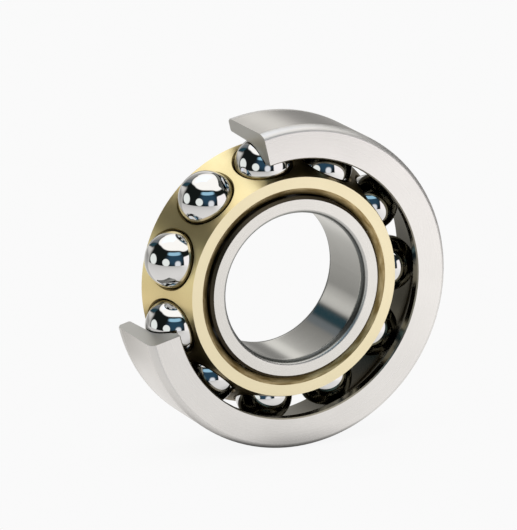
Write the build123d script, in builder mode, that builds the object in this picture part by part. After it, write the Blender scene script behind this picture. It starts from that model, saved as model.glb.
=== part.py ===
from build123d import *

import os
from math import cos, radians, sin, sqrt

# Single-row angular contact ball bearing with a machined brass cage, in millimetres.
# The outer ring has a quarter of its circle cut away, so that the balls and the cage show.
#
# The bearing's axis is Y, and the front, where the outer ring has its high shoulder, looks
# toward -Y. The origin is on the axis, halfway through the outer ring's width. Every ring
# profile is drawn as (radius, distance along the axis) and turned around the axis.
# Angles around the axis start at +X and grow toward +Z, anticlockwise seen from the front.

# Boundary dimensions
bore_diameter = 50.0
outside_diameter = 110.0
ring_width = 27.0

# Ball set
ball_diameter = 19.05
pitch_diameter = 80.0
ball_count = 11
first_ball_angle = 98.4
contact_angle = 40.0

# Raceway grooves: each radius is slightly over half a ball, as a share of the ball
outer_conformity = 0.52
inner_conformity = 0.515

# The unloaded bearing has axial play, and its ball set and inner ring stand back in it
ball_set_back = 1.5
inner_ring_back = 1.8

# Shoulders on either side of the grooves, as diameters
outer_shoulder_diameter = 88.2
outer_land_diameter = 99.16
outer_land_mouth_diameter = 100.4
inner_shoulder_diameter = 76.0
inner_land_diameter = 61.8

# Edges, as (along the radius, along the axis)
outer_front_corner = (2.0, 3.6)
outer_back_corner = (1.2, 1.5)
bore_corner = (1.6, 3.0)
inner_front_corner = (0.9, 1.0)
inner_back_corner = (1.4, 1.8)
edge_break = 0.4
outer_shoulder_ramp = (1.9, 2.9)
inner_shoulder_ramp = (0.8, 1.0)

# Window cut out of the outer ring, between two planes through the axis
window_start = 103.5
window_angle = 90.0

# Cage: a cone frustum wall that opens toward the back, with the balls in round pockets
cage_front = 11.9
cage_back = 11.7
cage_face_outer_radius = 37.25
cage_face_inner_radius = 33.5
cage_mouth_radius = 31.35
cage_mouth_depth = 1.2
cage_rim_radius = 45.4
cage_rim_station = 9.9
cage_back_radius = 44.5
cage_wall = 5.4
pocket_diameter = 19.6
pocket_edge_chamfer = 0.55

# Sizes that follow from the ones above
ball_radius = ball_diameter / 2
pitch_radius = pitch_diameter / 2
outer_radius = outside_diameter / 2
bore_radius = bore_diameter / 2
half_width = ring_width / 2
outer_groove_radius = outer_conformity * ball_diameter
inner_groove_radius = inner_conformity * ball_diameter
pressure = radians(contact_angle)


def groove_centre(groove_radius, side):
    """Centre of a groove that a ball touches at the contact angle, on the outer side (1) or inner (-1)."""
    reach = groove_radius - ball_radius
    return (pitch_radius - side * reach * cos(pressure), side * reach * sin(pressure))


def groove_station(centre, groove_radius, radius, side):
    """Distance along the axis where a groove reaches a radius, in front of its centre (-1) or behind (1)."""
    return centre[1] + side * sqrt(groove_radius**2 - (radius - centre[0]) ** 2)


def radial_plane(angle, offset=0.0):
    """Plane through the axis at an angle around it: its X is the radius and its Y runs along the axis."""
    turn = radians(angle)
    return Plane(
        origin=(0, offset, 0),
        x_dir=(cos(turn), 0, sin(turn)),
        z_dir=(-sin(turn), 0, cos(turn)),
    )


# Outer ring: high shoulder in front, groove, then a land that opens slightly toward the back
outer_centre = groove_centre(outer_groove_radius, 1)
outer_shoulder = outer_shoulder_diameter / 2
outer_ramp_top = outer_shoulder + outer_shoulder_ramp[0]
outer_ramp_end = groove_station(outer_centre, outer_groove_radius, outer_ramp_top, -1)
outer_land = outer_land_diameter / 2
outer_land_start = groove_station(outer_centre, outer_groove_radius, outer_land, 1)
outer_mouth = outer_land_mouth_diameter / 2

with BuildPart() as outer_ring:
    with BuildSketch(radial_plane(window_start)):
        with BuildLine():
            Polyline(
                (outer_radius - outer_front_corner[0], -half_width),
                (outer_shoulder + edge_break, -half_width),
                (outer_shoulder, -half_width + edge_break),
                (outer_shoulder, outer_ramp_end - outer_shoulder_ramp[1]),
                (outer_ramp_top, outer_ramp_end),
            )
            ThreePointArc(
                (outer_ramp_top, outer_ramp_end),
                (outer_centre[0] + outer_groove_radius, outer_centre[1]),
                (outer_land, outer_land_start),
            )
            Polyline(
                (outer_land, outer_land_start),
                (outer_mouth, half_width - edge_break),
                (outer_mouth + edge_break, half_width),
                (outer_radius - outer_back_corner[0], half_width),
                (outer_radius, half_width - outer_back_corner[1]),
                (outer_radius, -half_width + outer_front_corner[1]),
            )
            EllipticalCenterArc(
                center=(outer_radius - outer_front_corner[0], -half_width + outer_front_corner[1]),
                x_radius=outer_front_corner[0],
                y_radius=outer_front_corner[1],
                start_angle=270,
                arc_size=90,
            )
        make_face()
    revolve(axis=Axis.Y, revolution_arc=360 - window_angle)

# Inner ring: low land in front, groove, then the high shoulder behind it
inner_centre = groove_centre(inner_groove_radius, -1)
inner_land = inner_land_diameter / 2
inner_land_end = groove_station(inner_centre, inner_groove_radius, inner_land, -1)
inner_shoulder = inner_shoulder_diameter / 2
inner_ramp_top = inner_shoulder - inner_shoulder_ramp[0]
inner_ramp_start = groove_station(inner_centre, inner_groove_radius, inner_ramp_top, 1)

with BuildPart() as inner_ring:
    with BuildSketch(radial_plane(0, inner_ring_back)):
        with BuildLine():
            Polyline(
                (inner_land, inner_land_end),
                (inner_land, -half_width + inner_front_corner[1]),
                (inner_land - inner_front_corner[0], -half_width),
                (bore_radius + bore_corner[0], -half_width),
            )
            EllipticalCenterArc(
                center=(bore_radius + bore_corner[0], -half_width + bore_corner[1]),
                x_radius=bore_corner[0],
                y_radius=bore_corner[1],
                start_angle=180,
                arc_size=90,
            )
            Line((bore_radius, -half_width + bore_corner[1]), (bore_radius, half_width - bore_corner[1]))
            EllipticalCenterArc(
                center=(bore_radius + bore_corner[0], half_width - bore_corner[1]),
                x_radius=bore_corner[0],
                y_radius=bore_corner[1],
                start_angle=90,
                arc_size=90,
            )
            Polyline(
                (bore_radius + bore_corner[0], half_width),
                (inner_shoulder - inner_back_corner[0], half_width),
                (inner_shoulder, half_width - inner_back_corner[1]),
                (inner_shoulder, inner_ramp_start + inner_shoulder_ramp[1]),
                (inner_ramp_top, inner_ramp_start),
            )
            ThreePointArc(
                (inner_ramp_top, inner_ramp_start),
                (inner_centre[0] - inner_groove_radius, inner_centre[1]),
                (inner_land, inner_land_end),
            )
        make_face()
    revolve(axis=Axis.Y)

# Cage: the wall is drawn from the ball centres, so it stands back with the ball set.
# Its profile turns from halfway between two pockets, so that the seam crosses none of them.
cage_slope = (cage_rim_radius - cage_face_outer_radius) / (cage_front + cage_rim_station)
cage_tilt = Vector(1, cage_slope).get_angle(Vector(1, 0))
cage_wall_radial = cage_wall * sqrt(1 + cage_slope**2)
cage_inner_back_radius = cage_face_outer_radius + cage_slope * (cage_front + cage_back) - cage_wall_radial

with BuildPart() as cage:
    with BuildSketch(radial_plane(first_ball_angle + 180 / ball_count, ball_set_back)):
        with BuildLine():
            Polyline(
                (cage_face_inner_radius, -cage_front),
                (cage_face_outer_radius, -cage_front),
                (cage_rim_radius, cage_rim_station),
                (cage_back_radius, cage_back),
                (cage_inner_back_radius, cage_back),
                (cage_mouth_radius, cage_mouth_depth - cage_front),
                close=True,
            )
        make_face()
    revolve(axis=Axis.Y)
    # Each pocket is bored square to the cage's wall, through the middle of its ball
    for index in range(ball_count):
        angle = first_ball_angle + index * 360 / ball_count
        ball_plane = radial_plane(angle, ball_set_back)
        ball_centre = ball_plane.from_local_coords((pitch_radius, 0))
        drill = ball_plane.x_dir.rotate(Axis((0, 0, 0), ball_plane.z_dir), -cage_tilt)
        with BuildSketch(Plane(origin=ball_centre, z_dir=drill)):
            Circle(pocket_diameter / 2)
        extrude(amount=cage_wall * 2, both=True, mode=Mode.SUBTRACT)
    outer_wall = cage.faces().filter_by(GeomType.CONE).sort_by(SortBy.AREA)[-1]
    chamfer(outer_wall.inner_wires().edges(), length=pocket_edge_chamfer)

outer_ring.part.label = "outer_ring"
inner_ring.part.label = "inner_ring"
cage.part.label = "cage"

os.makedirs("parts", exist_ok=True)
export_step(outer_ring.part, "parts/outer_ring.step")
export_step(inner_ring.part, "parts/inner_ring.step")
export_step(cage.part, "parts/cage.step")

# Balls: equal spheres around the pitch circle
for index in range(ball_count):
    angle = first_ball_angle + index * 360 / ball_count
    ball_centre = radial_plane(angle, ball_set_back).from_local_coords((pitch_radius, 0))
    with BuildPart() as ball:
        with Locations(ball_centre):
            Sphere(ball_radius)
    name = f"ball_{index + 1:02d}"
    ball.part.label = name
    export_step(ball.part, f"parts/{name}.step")
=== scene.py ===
from math import cos, radians, sin

import bpy
from mathutils import Matrix, Vector


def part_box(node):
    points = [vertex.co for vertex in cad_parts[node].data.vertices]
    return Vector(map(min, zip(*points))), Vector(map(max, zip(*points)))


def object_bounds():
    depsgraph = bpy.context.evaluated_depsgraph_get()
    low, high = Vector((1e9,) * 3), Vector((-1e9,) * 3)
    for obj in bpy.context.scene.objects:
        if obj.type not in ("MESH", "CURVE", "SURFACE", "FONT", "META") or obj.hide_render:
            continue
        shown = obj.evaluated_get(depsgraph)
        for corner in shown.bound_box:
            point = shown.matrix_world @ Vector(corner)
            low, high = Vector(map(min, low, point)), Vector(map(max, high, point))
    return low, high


# An angular contact ball bearing standing on a white table in a small photo studio.
# All lengths are metres. The bearing's axis is Y and its front looks toward -Y.

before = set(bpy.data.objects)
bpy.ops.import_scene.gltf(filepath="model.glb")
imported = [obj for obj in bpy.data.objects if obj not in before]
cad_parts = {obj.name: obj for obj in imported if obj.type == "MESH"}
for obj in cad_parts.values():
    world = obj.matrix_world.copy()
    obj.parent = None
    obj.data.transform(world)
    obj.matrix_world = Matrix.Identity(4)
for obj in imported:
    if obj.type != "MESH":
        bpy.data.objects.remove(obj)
cad_low, cad_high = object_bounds()

MM = 0.001

# Camera: a long lens, a little above the axis and to the left of it
CAMERA_AZIMUTH = -25.96
CAMERA_ELEVATION = 16.007
CAMERA_DISTANCE = 1.6426
CAMERA_LENS = 339.6
AIM_RIGHT = -13.24 * MM
AIM_UP = 8.01 * MM

# Places on the rings and the cage, in millimetres. Those along the axis are from the outer ring's
# middle, negative in front. A pair is where a finish fades in and where it is full.
CORNER_FADE = (9.2, 11.8)
LAND_FADE = (3.07, 12.07)
SHOULDER_EDGE_FADE = (-12.9, -13.1)
FRONT_LAND_FADE = (-3.0, -4.0)
BORE_RADIUS = 25.0
BORE_WALL_FADE = (BORE_RADIUS + 0.06, BORE_RADIUS + 0.02)
BORE_CORNER_FADE = (BORE_RADIUS + 0.6, BORE_RADIUS + 0.85)
CAGE_MOUTH_FADE = (-8.0, -9.0)
CAGE_WALL_FADE = (35.0, 36.0)
CAGE_BACK_FADE = (11.2, 10.8)

# How far the cage's wall leans away from the bearing's axis
CONE_TILT = radians(20.5)

# The plain white that the camera sees, and how far it darkens under the bearing
BACKGROUND = 0.955
SEEN_SHADE = 0.96

# The mirrored table: brighter toward the softbox, darker at the far left and close to the bearing
TABLE_RADIUS = 0.38
TABLE_BACK = 0.05
TABLE_COLOUR = (0.97, 0.95, 0.93)
TABLE_LIGHT = 1.04
SOFTBOX_LIGHT = 0.34
FAR_LEFT_SHADE = 0.34
CLOSE_SHADE_LEFT = 0.13
CLOSE_SHADE_RIGHT = 0.9
SHADE_REACH = 0.09

# The mirrored room
DOME_COLOUR = (1.46, 1.43, 1.38)
COOL_DOME_COLOUR = (1.48, 1.60, 1.84)
DARK_COLOUR = (0.010, 0.013, 0.012)
LAMP_COLOUR = (1.15, 1.20, 1.16)

# The cards behind the bearing, as (clock angle, brightness). The clock angle turns around the
# bearing's axis from +X toward +Z.
CARDS = (
    (-180, 0.40), (-138, 0.55), (-95, 0.66), (-65, 0.80), (-8, 0.36), (14, 0.30), (30, 0.58), (43, 1.04),
    (58, 0.74), (75, 0.54), (120, 0.24), (134, 0.06), (143, 0.12), (154, 0.86), (166, 0.74), (180, 0.40),
)
CARD_TINT = (1.0, 0.98, 0.94)
CARD_BRIGHTEST = 1.5

# The coloured cards among them: colour, clock angle, then the distances from it where the colour
# fades in and where it is full
SLATE_CARD = ((0.215, 0.240, 0.260), 118.0, 10.0, 3.0)
TEAL_CARD = ((0.024, 0.068, 0.090), 134.0, 12.0, 5.0)
SIDE_CARD = (0.66, 0.65, 0.62)

# Which parts of the sky the cool dome, the plain side cards and the ring of cards fill: degrees
# away from straight in front, then elevation, each where it fades in and where it is full
COOL_DOME_SPAN = ((115.0, 145.0), (48.0, 62.0))
SIDE_CARD_SPAN = ((128.0, 142.0), (30.0, 18.0))
CARD_RING_SPAN = ((140.0, 148.0), (46.0, 34.0))

# Where the white dome ends and the dark room begins, as (azimuth, elevation) in degrees.
# Azimuth 0 is straight in front of the bearing, and 90 is at its right.
DOME_EDGE = (
    (-180, 45), (-166, 43), (-150, 42), (-133, 45), (-112, 50), (-88, 50), (-60, 50),
    (-20, 51), (8, 48), (30, 40), (52, 37), (100, 36), (140, 38), (180, 42),
)
DOME_EDGE_SOFT = 2.5

# Lamps, windows and cards: colour, centre, half size, soft edge, squareness
PATCHES = (
    ((0.030, 0.078, 0.128), (-18, 16), (32, 24), 0.5, 2.0),
    ((0.44, 0.76, 0.98), (-20, 37), (30, 6.5), 0.25, 4.0),
    (LAMP_COLOUR, (-113, 3), (17, 15), 0.10, 2.0),
    (LAMP_COLOUR, (-54.5, 2), (14.5, 14.5), 0.10, 2.0),
    ((1.05, 1.08, 1.13), (-7, -4), (11, 12.5), 0.3, 2.4),
    ((0.55, 0.53, 0.51), (108, -4), (16, 14), 0.35, 3.0),
    ((1.36, 1.30, 1.30), (39, 3), (21, 18), 0.08, 7.0),
)


def colour4(colour):
    """A colour with full alpha."""
    return (*colour, 1.0)


class Nodes:
    """Adds shader nodes to one tree. Its inputs may be numbers, colours or other nodes' outputs."""

    def __init__(self, tree):
        self.tree = tree
        tree.nodes.clear()

    def add(self, kind, inputs=(), **settings):
        """A node with its inputs filled in, by position or by name."""
        node = self.tree.nodes.new("ShaderNode" + kind)
        for name, value in settings.items():
            setattr(node, name, value)
        pairs = inputs.items() if isinstance(inputs, dict) else enumerate(inputs)
        for key, value in pairs:
            if isinstance(value, bpy.types.NodeSocket):
                self.tree.links.new(value, node.inputs[key])
            elif value is not None:
                node.inputs[key].default_value = value
        return node

    def math(self, operation, *inputs):
        return self.add("Math", inputs, operation=operation).outputs[0]

    def vector(self, operation, *inputs, output=0):
        return self.add("VectorMath", inputs, operation=operation).outputs[output]

    def step(self, value, start, end):
        """0 below start, 1 above end, smooth between. With start above end it runs the other way."""
        inputs = {"Value": value, "From Min": start, "From Max": end}
        return self.add("MapRange", inputs, interpolation_type="SMOOTHSTEP").outputs[0]

    def ramp(self, value, start, end, low, high):
        """A straight line from low at start to high at end, and flat beyond them."""
        inputs = {"Value": value, "From Min": start, "From Max": end, "To Min": low, "To Max": high}
        return self.add("MapRange", inputs).outputs[0]

    def mix(self, amount, first, second):
        """A colour between two, or first where amount is 0 and second where it is 1."""
        first = colour4(first) if isinstance(first, tuple) else first
        second = colour4(second) if isinstance(second, tuple) else second
        inputs = {0: amount, 6: first, 7: second}
        return self.add("Mix", inputs, data_type="RGBA").outputs[2]

    def blend(self, amount, first, second):
        """A number between two."""
        return self.add("Mix", {0: amount, 2: first, 3: second}, data_type="FLOAT").outputs[0]

    def noise(self, vector, scale, detail=2.0, roughness=0.5):
        inputs = {"Vector": vector, "Scale": scale, "Detail": detail, "Roughness": roughness}
        return self.add("TexNoise", inputs).outputs["Fac"]

    def curve(self, value, span, points, top):
        """A smooth line through (place, height) points, for places in the span and heights up to top."""
        place = self.ramp(value, span[0], span[1], 0.0, 1.0)
        node = self.add("FloatCurve", {"Value": place})
        line = node.mapping.curves[0]
        for index, (along, height) in enumerate(points):
            spot = ((along - span[0]) / (span[1] - span[0]), height / top)
            if index < 2:
                line.points[index].location = spot
            else:
                line.points.new(*spot)
        node.mapping.update()
        return self.math("MULTIPLY", node.outputs[0], top)

    def spread(self, noise, low, high):
        """A noise laid out from low to high. It seldom leaves 0.3 to 0.7."""
        return self.ramp(noise, 0.3, 0.7, low, high)

    def link(self, output, socket):
        self.tree.links.new(output, socket)

    def combine(self, x, y, z):
        return self.add("CombineXYZ", (x, y, z)).outputs[0]

    def separate(self, vector):
        return self.add("SeparateXYZ", (vector,)).outputs


def open_light(nodes, reach):
    """1 where the surface is open to the room, falling toward 0 in gaps narrower than the reach."""
    return nodes.add("AmbientOcclusion", {"Distance": reach}, samples=8).outputs["AO"]


# Studio


def sky_angles(nodes):
    """The azimuth and elevation, in degrees, of the direction that the world shader is asked for."""
    direction = nodes.add("TexCoord").outputs["Generated"]
    x, y, z = nodes.separate(nodes.vector("NORMALIZE", direction))
    front = nodes.math("MULTIPLY", y, -1.0)
    azimuth = nodes.math("DEGREES", nodes.math("ARCTAN2", x, front))
    elevation = nodes.math("DEGREES", nodes.math("ARCSINE", z))
    return azimuth, elevation


def patch(nodes, angles, centre, half_size, soft, squareness):
    """A soft-edged patch of the sky, 1 inside: round at squareness 2, and a rectangle at high values."""
    azimuth, elevation = angles
    across = nodes.math("SUBTRACT", azimuth, centre[0])
    across = nodes.math("WRAP", across, 180.0, -180.0)
    across = nodes.math("ABSOLUTE", nodes.math("DIVIDE", across, half_size[0]))
    along = nodes.math("SUBTRACT", elevation, centre[1])
    along = nodes.math("ABSOLUTE", nodes.math("DIVIDE", along, half_size[1]))
    across = nodes.math("POWER", across, squareness)
    along = nodes.math("POWER", along, squareness)
    reach = nodes.math("POWER", nodes.math("ADD", across, along), 1.0 / squareness)
    return nodes.step(reach, 1.0 + soft, 1.0 - soft)


def dome_edge(nodes, azimuth):
    """The elevation of the white dome's lower edge at an azimuth, in degrees."""
    return nodes.curve(azimuth, (-180.0, 180.0), DOME_EDGE, 90.0)


def sky_span(nodes, angles, span):
    """1 in the part of the sky that a span holds."""
    azimuth, elevation = angles
    aside = nodes.step(nodes.math("ABSOLUTE", azimuth), *span[0])
    return nodes.math("MULTIPLY", aside, nodes.step(elevation, *span[1]))


def card_ring(nodes):
    """Grey cards behind the bearing, lighter and darker around its axis, with a slate and a teal one."""
    direction = nodes.add("TexCoord").outputs["Generated"]
    x, _, z = nodes.separate(direction)
    clock = nodes.math("DEGREES", nodes.math("ARCTAN2", z, x))
    brightness = nodes.curve(clock, (-180.0, 180.0), CARDS, CARD_BRIGHTEST)
    cards = nodes.vector("SCALE", CARD_TINT)
    nodes.link(brightness, cards.node.inputs["Scale"])
    for colour, centre, outside, inside in (SLATE_CARD, TEAL_CARD):
        away = nodes.math("ABSOLUTE", nodes.math("SUBTRACT", clock, centre))
        cards = nodes.mix(nodes.step(away, outside, inside), cards, colour)
    return cards


def light_studio(scene):
    """The room that the polished steel mirrors: a white dome over a dark room with round lamps,
    a blue window, a square softbox at the right, a grey wall beyond it and grey cards behind. The
    camera sees plain white instead."""
    world = bpy.data.worlds.new("studio")
    scene.world = world
    world.use_nodes = True
    nodes = Nodes(world.node_tree)
    azimuth, elevation = angles = sky_angles(nodes)

    above_edge = nodes.math("SUBTRACT", elevation, dome_edge(nodes, azimuth))
    dome = nodes.mix(sky_span(nodes, angles, COOL_DOME_SPAN), DOME_COLOUR, COOL_DOME_COLOUR)
    room = nodes.mix(nodes.step(above_edge, -DOME_EDGE_SOFT, DOME_EDGE_SOFT), DARK_COLOUR, dome)

    # Behind the bearing hangs a ring of grey cards, which the bore mirrors, with plain ones beside it
    room = nodes.mix(sky_span(nodes, angles, SIDE_CARD_SPAN), room, SIDE_CARD)
    room = nodes.mix(sky_span(nodes, angles, CARD_RING_SPAN), room, card_ring(nodes))

    for colour, centre, half_size, soft, squareness in PATCHES:
        inside = patch(nodes, angles, centre, half_size, soft, squareness)
        room = nodes.mix(inside, room, colour)

    seen = nodes.add("LightPath").outputs["Is Camera Ray"]
    shown = nodes.mix(seen, room, (BACKGROUND,) * 3)
    background = nodes.add("Background", {"Color": shown})
    nodes.add("OutputWorld", (background.outputs[0],))


def floor_material():
    """Plain white for the camera, with a trace of contact shadow. In reflections it is a round
    white table, brighter toward the softbox at the right and shaded close to the bearing."""
    material = bpy.data.materials.new("white_table")
    material.use_nodes = True
    nodes = Nodes(material.node_tree)
    place = nodes.add("NewGeometry").outputs["Position"]
    x, y, _ = nodes.separate(place)
    away = nodes.vector("LENGTH", place, output=1)
    open_sky = open_light(nodes, SHADE_REACH)

    toward_softbox = nodes.step(x, -0.03, 0.22)
    light = nodes.math("MULTIPLY_ADD", toward_softbox, SOFTBOX_LIGHT, TABLE_LIGHT)
    far_left = nodes.ramp(away, 0.1, TABLE_RADIUS, 0.0, FAR_LEFT_SHADE)
    far_left = nodes.math("MULTIPLY", far_left, nodes.step(x, 0.06, -0.06))
    light = nodes.math("SUBTRACT", light, far_left)
    close_shade = nodes.ramp(x, 0.0, 0.03, CLOSE_SHADE_LEFT, CLOSE_SHADE_RIGHT)
    light = nodes.math("MULTIPLY", light, nodes.ramp(open_sky, 0.28, 0.78, close_shade, 1.0))
    table = nodes.add("Emission", {"Color": colour4(TABLE_COLOUR), "Strength": light})

    # The table ends at its round edge, and sooner straight behind the bearing than at the left
    beyond = nodes.step(away, TABLE_RADIUS, TABLE_RADIUS + 0.02)
    left = nodes.math("MINIMUM", nodes.math("ADD", x, 0.06), 0.0)
    back = nodes.math("MULTIPLY_ADD", left, 1.2, y)
    beyond = nodes.math("MAXIMUM", beyond, nodes.step(back, TABLE_BACK, TABLE_BACK + 0.03))
    clear = nodes.add("BsdfTransparent")
    mirrored = nodes.add("MixShader", (beyond, table.outputs[0], clear.outputs[0]))

    white = nodes.math("MULTIPLY", nodes.ramp(open_sky, 0.0, 0.8, SEEN_SHADE, 1.0), BACKGROUND)
    plain = nodes.add("Emission", {"Color": (1.0, 1.0, 1.0, 1.0), "Strength": white})
    seen = nodes.add("LightPath").outputs["Is Camera Ray"]
    mixed = nodes.add("MixShader", (seen, mirrored.outputs[0], plain.outputs[0]))
    nodes.add("OutputMaterial", (mixed.outputs[0],))
    return material


def lay_floor():
    """A wide flat floor at the height of the bearing's lowest point."""
    half = 6.0
    corners = [(-half, -half), (half, -half), (half, half), (-half, half)]
    mesh = bpy.data.meshes.new("floor")
    mesh.from_pydata([(x, y, cad_low.z) for x, y in corners], [], [(0, 1, 2, 3)])
    mesh.materials.append(floor_material())
    floor = bpy.data.objects.new("floor", mesh)
    bpy.context.scene.collection.objects.link(floor)


def place_camera(scene):
    """The photographer's view: level, and aimed slightly beside the outer ring's front face."""
    azimuth = radians(CAMERA_AZIMUTH)
    elevation = radians(CAMERA_ELEVATION)
    back = Vector((sin(azimuth) * cos(elevation), -cos(azimuth) * cos(elevation), sin(elevation)))
    right = Vector((cos(azimuth), sin(azimuth), 0.0))
    up = back.cross(right)
    face_centre = Vector((0.0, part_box("outer_ring")[0].y, 0.0))
    data = bpy.data.cameras.new("camera")
    data.lens = CAMERA_LENS
    data.clip_start = 0.01
    camera = bpy.data.objects.new("camera", data)
    camera.matrix_world = Matrix.Translation(
        face_centre + right * AIM_RIGHT + up * AIM_UP + back * CAMERA_DISTANCE
    ) @ Matrix((right, up, back)).transposed().to_4x4()
    scene.collection.objects.link(camera)
    scene.camera = camera


# Materials. Shader coordinates are millimetres in the bearing's own frame. A pair of colours is
# mixed in soft clouds.

# Tool marks: how many there are to a millimetre, and how deep they are
STEEL_MARK_DENSITY = 7.0
STEEL_MARK_DEPTH = 0.0006 * MM
BRASS_MARK_DENSITY = 4.0
BRASS_MARK_DEPTH = 0.002 * MM

# Painted shade darkens a surface's colour where other surfaces stand nearer than this
PAINTED_SHADE_DISTANCE = 10 * MM

GROUND_STEEL = (0.69, 0.68, 0.665)
INNER_FACE_STEEL = (0.655, 0.645, 0.62)
CYLINDER_STEEL = (0.585, 0.57, 0.55)
BORE_STEEL = (0.545, 0.545, 0.525)
# Painted shade: the raceway, land and edge steels are dark colours for steel deep inside the bearing
PAINTED_SHADE_RACEWAY_STEEL = (0.18, 0.162, 0.105)
PAINTED_SHADE_LAND_STEEL = (0.12, 0.11, 0.075)
PAINTED_SHADE_EDGE_STEEL = (0.23, 0.215, 0.175)
# Near black for the inner ring's front land and corner, and a darker grey for its bore chamfers next to
# the bore
NEAR_BLACK_STEEL = (0.062, 0.052, 0.036)
TURNED_STEEL = (0.46, 0.46, 0.445)
DARK_BORE_SIDE_STEEL = (0.125, 0.130, 0.125)
CORNER_STEEL = (0.66, 0.65, 0.635)
SAWN_STEEL = (0.52, 0.515, 0.49)
BALL_STEEL = ((0.63, 0.63, 0.63), (0.67, 0.67, 0.67))

PALE_BRASS = ((0.745, 0.67, 0.455), (0.795, 0.715, 0.50))
# Painted light, in part: the cone's brass is a more saturated gold than the faced front, standing in for
# light bounced between brass surfaces
BOUNCE_SATURATED_BRASS = ((0.735, 0.595, 0.295), (0.84, 0.695, 0.375))
STREAKED_BRASS = ((0.31, 0.21, 0.08), (0.80, 0.64, 0.355))
# Painted shade: near-black brass for the pocket walls around the balls, and dark brown for brass deep
# inside the bearing
PAINTED_SHADE_POCKET_BRASS = (0.10, 0.075, 0.035)
PAINTED_SHADE_BRASS = (0.22, 0.155, 0.05)


class Surface:
    """Where a point lies on a part turned around the Y axis, and which way its surface looks: out,
    inward, flat and cut are 1 where it looks away from the axis, toward it, along it and around it."""

    def __init__(self, nodes):
        coordinates = nodes.add("TexCoord").outputs
        place = nodes.vector("SCALE", coordinates["Object"])
        place.node.inputs["Scale"].default_value = 1.0 / MM
        x, y, z = nodes.separate(place)
        self.place = place
        self.along = y
        from_axis = nodes.combine(x, 0.0, z)
        self.radius = nodes.vector("LENGTH", from_axis, output=1)
        self.angle = nodes.math("ARCTAN2", z, x)
        radial = nodes.vector("NORMALIZE", from_axis)
        outward = nodes.vector("DOT_PRODUCT", coordinates["Normal"], radial, output=1)
        axial = nodes.separate(coordinates["Normal"])[1]
        self.out = nodes.step(outward, 0.05, 0.15)
        self.inward = nodes.step(outward, -0.05, -0.15)
        self.flat = nodes.step(nodes.math("ABSOLUTE", axial), 0.96, 0.99)
        self.outward = outward
        self.axial = axial
        turned = nodes.vector("CROSS_PRODUCT", radial, (0.0, 1.0, 0.0))
        sideways = nodes.vector("DOT_PRODUCT", coordinates["Normal"], turned, output=1)
        self.cut = nodes.step(nodes.math("ABSOLUTE", sideways), 0.5, 0.7)

    def circles(self, nodes, density):
        """Fine marks that run around the axis, as a turning or grinding tool leaves them."""
        across = nodes.math("MULTIPLY", self.radius, density)
        along = nodes.math("MULTIPLY", self.along, density)
        return nodes.noise(nodes.combine(across, along, self.angle), 1.0, detail=4.0, roughness=0.65)


def new_material(name, finish):
    """A material whose shader nodes come from a finish."""
    material = bpy.data.materials.new(name)
    material.use_nodes = True
    finish(Nodes(material.node_tree))
    return material


def principled(nodes, **inputs):
    """One metal surface, with its inputs filled in by name."""
    named = {key.replace("_", " "): value for key, value in inputs.items()}
    shader = nodes.add("BsdfPrincipled", {"Metallic": 1.0, **named})
    nodes.add("OutputMaterial", (shader.outputs[0],))


def layered(nodes, layers):
    """Lays (mask, colour, roughness) layers over each other, from the bottom up."""
    colour, roughness = layers[0][1:]
    for mask, layer_colour, layer_roughness in layers[1:]:
        colour = nodes.mix(mask, colour, layer_colour)
        roughness = nodes.blend(mask, roughness, layer_roughness)
    return colour, roughness


def steel_finish(nodes, surface, layers, deepest_painted_shade):
    """Ring steel: layers of colour and roughness, with fine circular marks and straight marks on
    the cut faces. Deep in the bearing, painted shade darkens its colour down to the deepest share."""
    colour, roughness = layered(nodes, layers)
    marks = surface.circles(nodes, STEEL_MARK_DENSITY)
    stretched = nodes.vector("MULTIPLY", surface.place, (0.9, 9.0, 0.9))
    scratches = nodes.noise(stretched, 1.0, detail=4.0, roughness=0.7)
    marks = nodes.blend(surface.cut, marks, scratches)
    clouds = nodes.noise(surface.place, 0.09, detail=3.0)
    worn = nodes.math("ADD", nodes.spread(marks, 0.975, 1.025), nodes.spread(clouds, -0.02, 0.02))
    # Painted shade: the colour darkens where other surfaces stand close, as in the gaps inside the
    # bearing
    painted_shade_ramp = nodes.ramp(open_light(nodes, PAINTED_SHADE_DISTANCE), 0.3, 0.85, deepest_painted_shade, 1.0)
    worn_and_painted_shade_colour = nodes.vector("SCALE", colour)
    nodes.link(nodes.math("MULTIPLY", worn, painted_shade_ramp), worn_and_painted_shade_colour.node.inputs["Scale"])
    roughness = nodes.math("MULTIPLY", roughness, nodes.spread(marks, 0.9, 1.1))
    bump = nodes.add("Bump", {"Height": marks, "Distance": STEEL_MARK_DEPTH})
    principled(nodes, Base_Color=worn_and_painted_shade_colour, Roughness=roughness, Normal=bump.outputs[0])


def outer_ring_finish(nodes):
    """Ground faces and outside, rolled-over corners, polished raceway and sawn window ends. The
    raceway, back land and front shoulder edge are coloured dark as painted shade.
    """
    surface = Surface(nodes)
    edge = nodes.step(nodes.math("ABSOLUTE", surface.along), *CORNER_FADE)
    corner = nodes.math("MULTIPLY", surface.out, edge)
    land = nodes.math("MULTIPLY", surface.inward, nodes.step(surface.along, *LAND_FADE))
    rim = nodes.math("MULTIPLY", surface.inward, nodes.step(surface.along, *SHOULDER_EDGE_FADE))
    layers = (
        (None, CYLINDER_STEEL, 0.2),
        (corner, CORNER_STEEL, 0.5),
        (surface.inward, PAINTED_SHADE_RACEWAY_STEEL, 0.2),
        (land, PAINTED_SHADE_LAND_STEEL, 0.2),
        (rim, PAINTED_SHADE_EDGE_STEEL, 0.3),
        (surface.flat, GROUND_STEEL, 0.26),
        (surface.cut, SAWN_STEEL, 0.38),
    )
    steel_finish(nodes, surface, layers, deepest_painted_shade=0.3)


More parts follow.
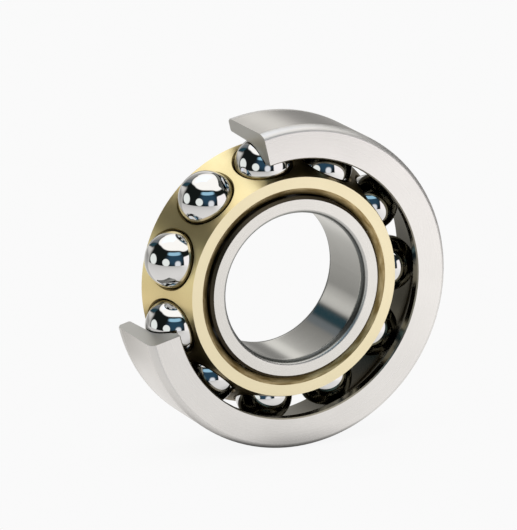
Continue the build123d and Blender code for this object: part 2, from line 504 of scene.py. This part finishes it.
def inner_ring_finish(nodes):
    """Ground faces and bore, turned corners that are darker next to the bore, a near-black front
    land, and a polished raceway coloured dark as painted shade.
    """
    surface = Surface(nodes)
    bore_wall = nodes.step(surface.radius, *BORE_WALL_FADE)
    front = nodes.step(surface.along, *FRONT_LAND_FADE)
    corner = nodes.mix(nodes.step(surface.radius, *BORE_CORNER_FADE), DARK_BORE_SIDE_STEEL, TURNED_STEEL)
    layers = (
        (None, PAINTED_SHADE_RACEWAY_STEEL, 0.2),
        (front, NEAR_BLACK_STEEL, 0.4),
        (surface.inward, corner, 0.34),
        (bore_wall, BORE_STEEL, 0.14),
        (surface.flat, INNER_FACE_STEEL, 0.26),
    )
    steel_finish(nodes, surface, layers, deepest_painted_shade=0.4)


def ball_finish(nodes):
    """Polished chrome steel. The surface direction is worked out from the sphere itself, so the
    mirror image has no facets; hairline scratches break it up a little."""
    coordinates = nodes.add("TexCoord").outputs
    from_centre = nodes.vector("SUBTRACT", coordinates["Generated"], (0.5, 0.5, 0.5))
    outward = nodes.vector("NORMALIZE", from_centre)
    settings = {"vector_type": "NORMAL", "convert_from": "OBJECT", "convert_to": "WORLD"}
    direction = nodes.add("VectorTransform", (outward,), **settings).outputs[0]
    hairlines = nodes.noise(nodes.vector("MULTIPLY", from_centre, (3.0, 60.0, 9.0)), 1.0, detail=5.0)
    clouds = nodes.noise(from_centre, 5.0, detail=3.0)
    bump = nodes.add("Bump", {"Height": hairlines, "Distance": STEEL_MARK_DEPTH, "Normal": direction})
    principled(
        nodes,
        Base_Color=nodes.mix(clouds, *BALL_STEEL),
        Roughness=nodes.ramp(hairlines, 0.35, 0.7, 0.02, 0.05),
        Normal=bump.outputs[0],
    )


def brass_finish(nodes):
    """Machined brass: a pale faced front and a satin turned cone whose deeper gold is partly painted
    light. The pocket walls and the brass deep inside are painted shade, near black and dark brown."""
    surface = Surface(nodes)
    marks = surface.circles(nodes, BRASS_MARK_DENSITY)
    clouds = nodes.noise(surface.place, 0.12, detail=3.0)
    pale = nodes.mix(clouds, *PALE_BRASS)
    # Painted light, in part: the cone's deeper gold stands in for light bounced between brass surfaces
    bounce_saturated = nodes.mix(clouds, *BOUNCE_SATURATED_BRASS)
    brass = nodes.mix(surface.flat, bounce_saturated, pale)
    mouth = nodes.math("MULTIPLY", surface.inward, nodes.step(surface.along, *CAGE_MOUTH_FADE))
    turn = nodes.math("MULTIPLY", surface.angle, 5.0)
    reach = nodes.math("MULTIPLY", surface.radius, 0.9)
    streaks = nodes.noise(nodes.combine(turn, reach, 0.0), 1.0, detail=2.0)
    streaks = nodes.ramp(streaks, 0.36, 0.64, 0.0, 1.0)
    brass = nodes.mix(mouth, brass, nodes.mix(streaks, *STREAKED_BRASS))

    # The cone's own direction tells its wall from the pockets bored through it
    across = nodes.math("MULTIPLY", surface.outward, cos(CONE_TILT))
    along = nodes.math("MULTIPLY", surface.axial, sin(CONE_TILT))
    off_cone = nodes.step(nodes.math("ABSOLUTE", nodes.math("SUBTRACT", across, along)), 0.6, 0.4)
    in_wall = nodes.math("MULTIPLY", nodes.step(surface.radius, *CAGE_WALL_FADE), off_cone)
    in_wall = nodes.math("MULTIPLY", in_wall, nodes.step(surface.along, *CAGE_BACK_FADE))
    # Painted shade: the pocket walls around the balls are coloured near black
    painted_shade_pocket = nodes.math("MULTIPLY", in_wall, nodes.math("SUBTRACT", 1.0, surface.flat))
    brass = nodes.mix(painted_shade_pocket, brass, PAINTED_SHADE_POCKET_BRASS)

    # Painted shade: deep in the bearing the colour falls to dark brown
    painted_shade_ramp = nodes.ramp(open_light(nodes, PAINTED_SHADE_DISTANCE), 0.38, 0.9, 0.0, 1.0)
    colour = nodes.mix(painted_shade_ramp, PAINTED_SHADE_BRASS, brass)
    roughness = nodes.blend(surface.flat, nodes.blend(mouth, 0.36, 0.5), 0.3)
    roughness = nodes.math("MULTIPLY", roughness, nodes.spread(marks, 0.94, 1.06))
    bump = nodes.add("Bump", {"Height": marks, "Distance": BRASS_MARK_DEPTH})
    principled(nodes, Base_Color=colour, Roughness=roughness, Normal=bump.outputs[0])


def dress():
    """Gives every piece its material."""
    finishes = {
        "outer_ring": new_material("outer_ring_steel", outer_ring_finish),
        "inner_ring": new_material("inner_ring_steel", inner_ring_finish),
        "cage": new_material("machined_brass", brass_finish),
    }
    ball = new_material("polished_ball_steel", ball_finish)
    for name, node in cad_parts.items():
        for slot in node.material_slots:
            slot.material = finishes.get(name, ball)


scene = bpy.context.scene
scene.view_settings.view_transform = "Standard"
light_studio(scene)
lay_floor()
place_camera(scene)
dress()
